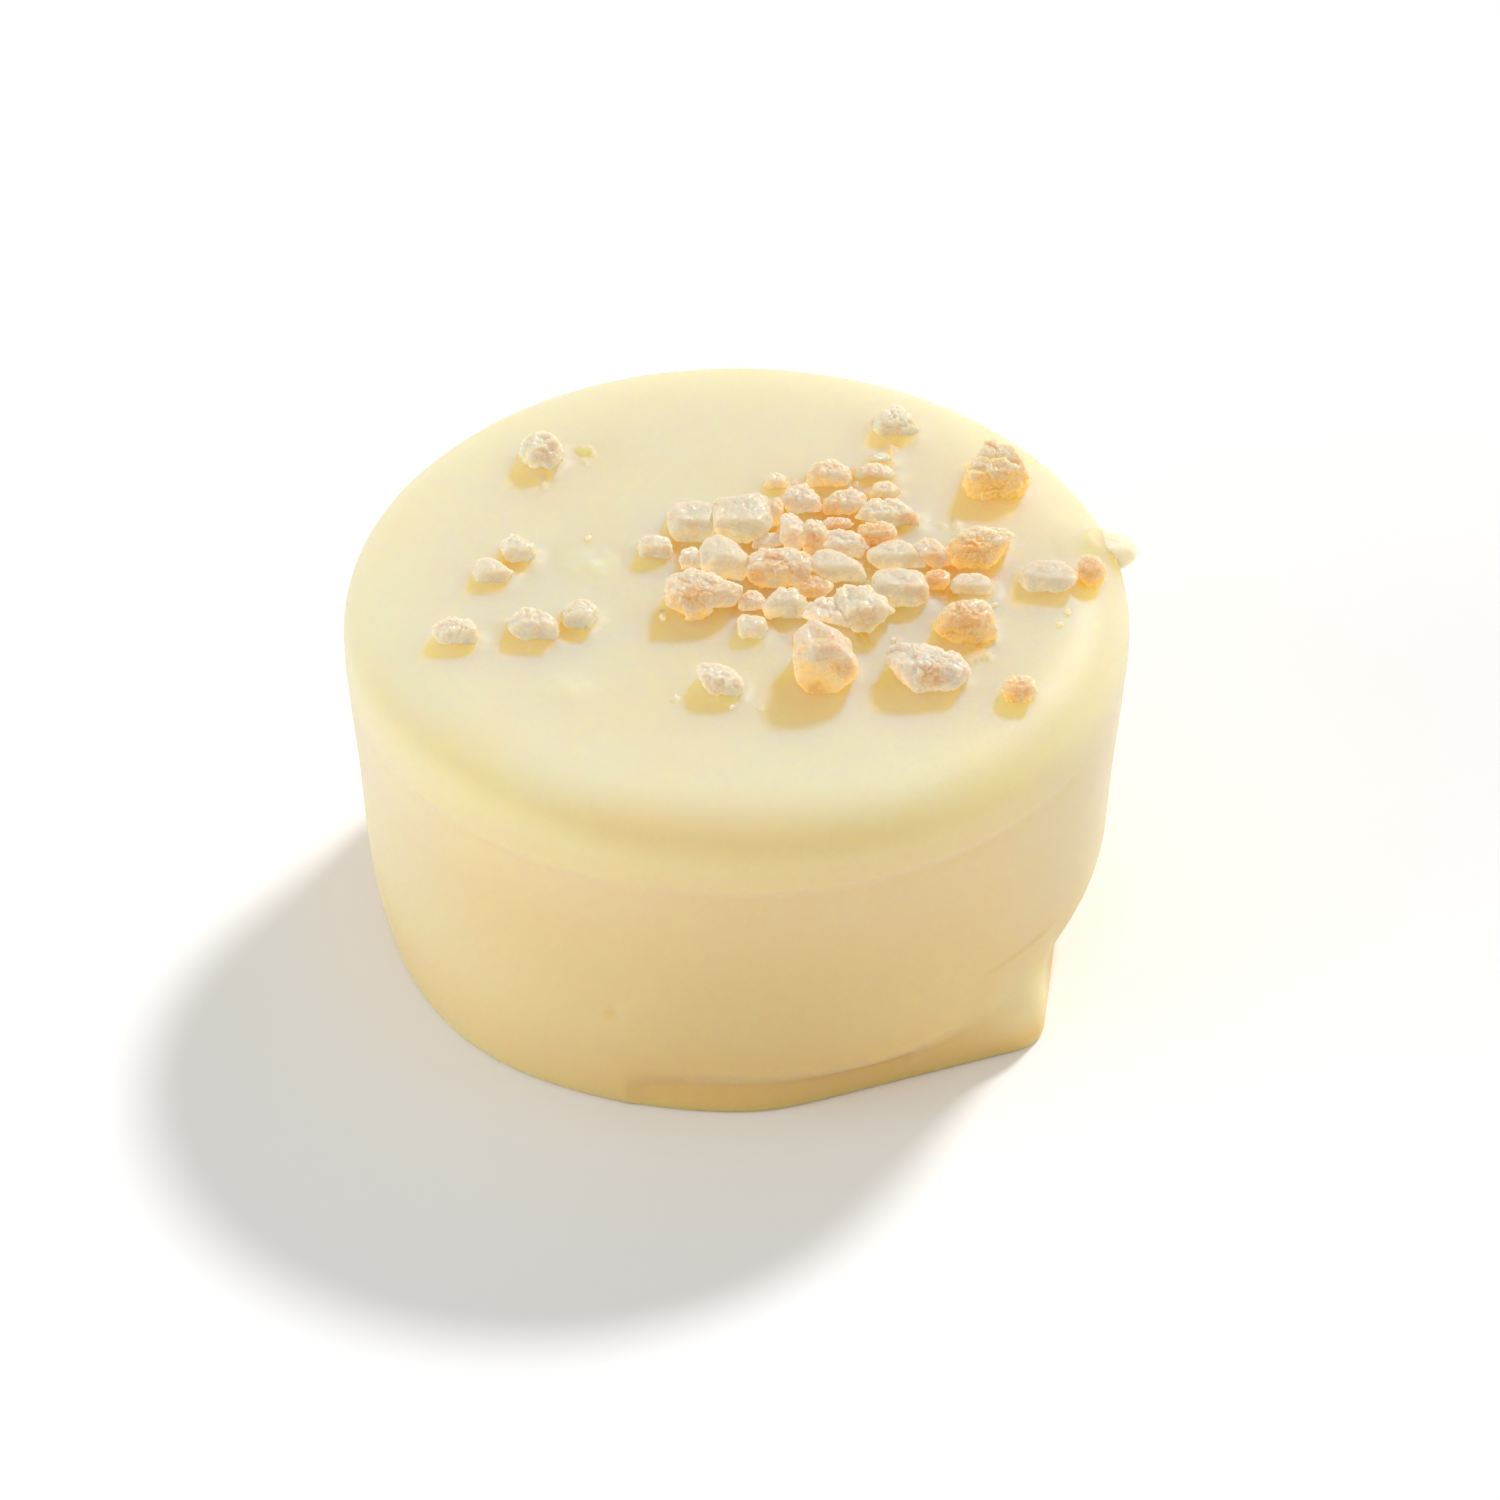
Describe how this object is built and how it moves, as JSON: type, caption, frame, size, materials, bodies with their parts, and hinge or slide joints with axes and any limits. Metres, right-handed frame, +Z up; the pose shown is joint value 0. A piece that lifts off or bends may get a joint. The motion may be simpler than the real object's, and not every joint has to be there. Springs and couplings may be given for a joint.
{
  "type": "shaving soap puck",
  "caption": "Round poured shaving soap puck, tapered towards its base, with a rounded rim, a set drip at the foot and coarse salt crystals bedded in the top.",
  "frame": {"origin": "centre of the face that the puck stands on, on the casting's axis", "axes": "+Z up through the top face with the crystals, -Y towards the side with the drip, +X to the right seen from -Y"},
  "size_m": [0.0606, 0.06, 0.0342],
  "materials": {
    "soap": "satin",
    "salt_frosted": "matte",
    "salt_clear": "satin",
    "salt_peach": "satin",
    "salt_amber": "satin"
  },
  "bodies": {
    "root": {"soap_cake": "soap", "heap_crystal_01": "salt_peach", "heap_crystal_02": "salt_frosted", "heap_crystal_03": "salt_peach", "heap_crystal_04": "salt_peach", "heap_crystal_05": "salt_clear", "heap_crystal_06": "salt_frosted", "heap_crystal_07": "salt_clear", "heap_crystal_08": "salt_clear", "heap_crystal_09": "salt_amber", "heap_crystal_10": "salt_frosted", "heap_crystal_11": "salt_frosted", "heap_crystal_12": "salt_peach", "heap_crystal_13": "salt_frosted", "heap_crystal_14": "salt_peach", "heap_crystal_15": "salt_clear", "heap_crystal_16": "salt_frosted", "heap_crystal_17": "salt_clear", "heap_crystal_18": "salt_clear", "heap_crystal_19": "salt_peach", "heap_crystal_20": "salt_amber", "heap_crystal_21": "salt_amber", "heap_crystal_22": "salt_clear", "heap_crystal_23": "salt_frosted", "heap_crystal_24": "salt_peach", "heap_crystal_25": "salt_clear", "heap_crystal_26": "salt_clear", "heap_crystal_27": "salt_frosted", "heap_crystal_28": "salt_clear", "heap_crystal_29": "salt_peach", "loose_crystal_01": "salt_frosted", "loose_crystal_02": "salt_frosted", "loose_crystal_03": "salt_frosted", "loose_crystal_04": "salt_clear", "loose_crystal_05": "salt_peach", "loose_crystal_06": "salt_peach", "loose_crystal_07": "salt_amber", "loose_crystal_08": "salt_clear", "loose_crystal_09": "salt_frosted", "loose_crystal_10": "salt_frosted", "loose_crystal_11": "salt_amber", "loose_crystal_12": "salt_clear", "loose_crystal_13": "salt_clear", "loose_crystal_14": "salt_amber", "loose_crystal_15": "salt_clear", "loose_crystal_16": "salt_clear", "loose_crystal_17": "salt_frosted", "loose_crystal_18": "salt_amber", "loose_crystal_19": "salt_frosted", "loose_crystal_20": "salt_frosted", "loose_crystal_21": "salt_frosted", "loose_crystal_22": "salt_clear", "loose_crystal_23": "salt_frosted", "loose_crystal_24": "salt_amber", "salt_grit": "salt_frosted"}
  },
  "joints": []
}
